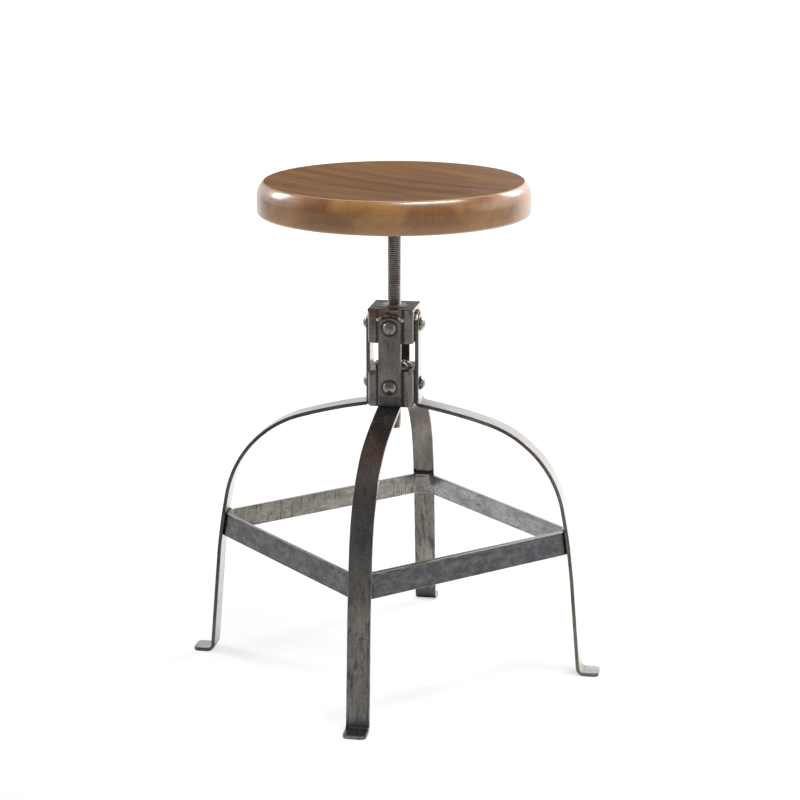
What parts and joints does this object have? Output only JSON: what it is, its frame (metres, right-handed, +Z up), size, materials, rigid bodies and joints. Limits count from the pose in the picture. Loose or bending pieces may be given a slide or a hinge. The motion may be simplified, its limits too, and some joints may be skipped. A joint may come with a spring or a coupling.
{
  "type": "bar stool",
  "caption": "Height-adjustable stool: round dished wooden seat on a threaded steel rod, carried by bent flat-bar legs with a square footrest.",
  "frame": {"origin": "on the floor, straight below the threaded rod's axis", "axes": "+Z up along the rod, -Y towards the front leg, +X towards the right leg"},
  "size_m": [0.5602, 0.5602, 0.661],
  "materials": {
    "seat_wood": "satin lacquer over brown stained wood",
    "frame_steel": "raw mill-scaled steel, clear coated",
    "screw_steel": "blackened thread with worn crests",
    "bolt_steel": "blackened steel with worn crowns",
    "bush_steel": "bare turned steel"
  },
  "bodies": {
    "base": {"upper_tube": "frame_steel", "upper_plate": "frame_steel", "upper_bush": "bush_steel", "lower_tube": "frame_steel", "lower_plate": "frame_steel", "lower_bush": "bush_steel", "leg_front": "frame_steel", "leg_right": "frame_steel", "leg_back": "frame_steel", "leg_left": "frame_steel", "upper_bolts": "bolt_steel", "lower_bolts": "bolt_steel", "upper_nuts": "bolt_steel", "lower_nuts": "bolt_steel", "footrest_ring": "frame_steel"},
    "lift": {"thrust_washer": "bush_steel"},
    "seat": {"seat_board": "seat_wood", "seat_flange": "frame_steel", "seat_screws": "bolt_steel", "jam_nut": "bolt_steel", "threaded_rod": "screw_steel"}
  },
  "joints": [
    {"name": "seat_lift", "type": "slide", "parent": "base", "child": "lift", "axis": [0, 0, 1], "range_m": [-0.1001, 0.0601]},
    {"name": "seat_turn", "type": "hinge", "parent": "lift", "child": "seat", "pos_m": [0, 0, 0], "axis": [0, 0, 1], "range_deg": [-14400, 8640]}
  ],
  "couplings": [
    {"joint": "seat_lift", "follows": "seat_turn", "m_per_rad": 0.00039789}
  ]
}
